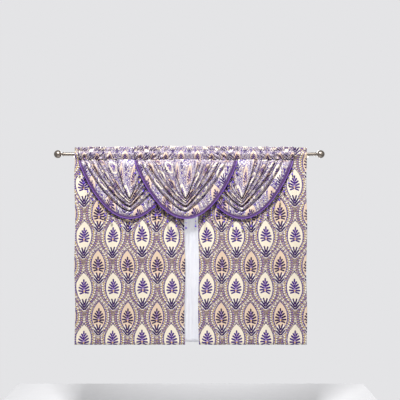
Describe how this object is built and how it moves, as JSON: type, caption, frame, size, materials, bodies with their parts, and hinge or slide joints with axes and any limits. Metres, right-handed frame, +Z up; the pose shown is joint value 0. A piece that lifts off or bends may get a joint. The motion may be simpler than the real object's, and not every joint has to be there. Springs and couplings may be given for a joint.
{
  "type": "waterfall swag valances and curtains on a curtain rod",
  "caption": "Bead-trimmed waterfall swag valances over patterned rod-pocket curtains and a white sheer, on a double curtain rod with ball finials.",
  "frame": {"origin": "on the wall's surface, level with the rods' axes, midway between the front rod's ends", "axes": "+X along the rods to the right as seen from the room, +Y into the wall, +Z up"},
  "size_m": [2.272, 0.1634, 1.67],
  "materials": {
    "brushed_nickel": "satin brushed nickel plating",
    "printed_satin": "printed satin in violet, cream, gold and taupe",
    "white_voile": "sheer white voile",
    "plum_braid": "woven plum braid",
    "violet_beads": "violet tape with pearly violet and gold beads"
  },
  "bodies": {
    "root": {"rod": "brushed_nickel", "back_rod": "brushed_nickel", "finial_left": "brushed_nickel", "finial_right": "brushed_nickel", "bracket_left": "brushed_nickel", "bracket_right": "brushed_nickel", "panel_left": "printed_satin", "panel_right": "printed_satin", "sheer": "white_voile", "heading_left": "printed_satin", "heading_middle": "printed_satin", "heading_right": "printed_satin", "swag_left": "printed_satin", "swag_middle": "printed_satin", "swag_right": "printed_satin", "trim_left": "plum_braid", "trim_middle": "plum_braid", "trim_right": "plum_braid", "fringe_left": "violet_beads", "fringe_middle": "violet_beads", "fringe_right": "violet_beads"}
  },
  "joints": []
}
